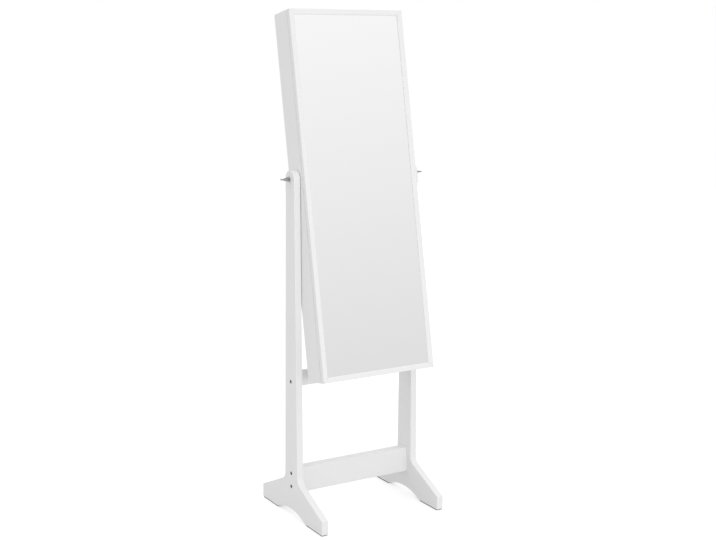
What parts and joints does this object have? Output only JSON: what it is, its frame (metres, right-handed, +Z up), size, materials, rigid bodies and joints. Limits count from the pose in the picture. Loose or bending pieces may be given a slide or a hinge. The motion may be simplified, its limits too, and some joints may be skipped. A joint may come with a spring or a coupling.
{
  "type": "jewelry mirror cabinet",
  "caption": "Free-standing jewelry cabinet: a shallow case with a full-length mirror door, tilting on hand screws between two footed side frames.",
  "frame": {"origin": "on the floor, midway between the side frames and under the hand screws' axis", "axes": "+Z up, the mirror faces -Y, +X to the viewer's right, hand screws along X"},
  "size_m": [0.4682, 0.365, 1.4619],
  "materials": {
    "white_paint": "fibreboard with white satin paint",
    "mirror": "silvered float glass",
    "velvet": "black velvet on thin board",
    "padded_velvet": "black velvet over foam",
    "felt": "dark grey felt",
    "screw_steel": "nickel plated, satin",
    "bolt_steel": "dark zinc plated",
    "hidden_steel": "zinc plated",
    "chrome": "polished",
    "nylon": "natural nylon",
    "beech": "plain beech",
    "bumper_rubber": "soft translucent rubber"
  },
  "bodies": {
    "stand": {"left_side_frame": "white_paint", "right_side_frame": "white_paint", "lower_rail": "white_paint", "middle_rail": "white_paint", "rail_bolts": "bolt_steel", "barrel_nuts": "hidden_steel", "rail_dowels": "beech", "foot_pads": "felt", "outer_washers": "nylon"},
    "left_hand_screw": {"left_hand_screw": "screw_steel"},
    "right_hand_screw": {"right_hand_screw": "screw_steel"},
    "cabinet": {"left_side_panel": "white_paint", "right_side_panel": "white_paint", "top_panel": "white_paint", "bottom_panel": "white_paint", "case_dowels": "beech", "back_panel": "white_paint", "velvet_lining": "velvet", "top_shelf": "white_paint", "middle_shelf": "white_paint", "lower_shelf": "white_paint", "bottom_shelf": "white_paint", "guard_strips": "white_paint", "column_divider": "white_paint", "ring_tray": "velvet", "ring_rolls": "padded_velvet", "earring_board": "velvet", "earring_battens": "velvet", "hook_rail": "velvet", "necklace_hooks": "chrome", "bracelet_rod": "chrome", "rod_sockets": "chrome", "pivot_inserts": "hidden_steel", "spacer_washers": "nylon", "door_magnets": "hidden_steel", "door_bumpers": "bumper_rubber", "case_hinge_leaves": "chrome", "hinge_pins": "chrome"},
    "door": {"door_panel": "white_paint", "mirror_glass": "mirror", "door_left_stile": "white_paint", "door_right_stile": "white_paint", "door_top_rail": "white_paint", "door_bottom_rail": "white_paint", "door_hinge_leaves": "chrome", "strike_plates": "hidden_steel"}
  },
  "joints": [
    {"name": "case_tilt", "type": "hinge", "parent": "stand", "child": "cabinet", "pos_m": [0, 0, 0.993], "axis": [-1, 0, 0], "range_deg": [-5.6, 9.2]},
    {"name": "door_swing", "type": "hinge", "parent": "cabinet", "child": "door", "pos_m": [0.1878, -0.03291, 0.99928], "axis": [0, 0.1874, 0.9823], "range_deg": [0, 110]},
    {"name": "left_screw_turn", "type": "hinge", "parent": "cabinet", "child": "left_hand_screw", "pos_m": [-0.2, 0, 0.993], "axis": [-1, 0, 0], "range_deg": [0, 270]},
    {"name": "right_screw_turn", "type": "hinge", "parent": "cabinet", "child": "right_hand_screw", "pos_m": [0.2, 0, 0.993], "axis": [1, 0, 0], "range_deg": [0, 270]}
  ]
}
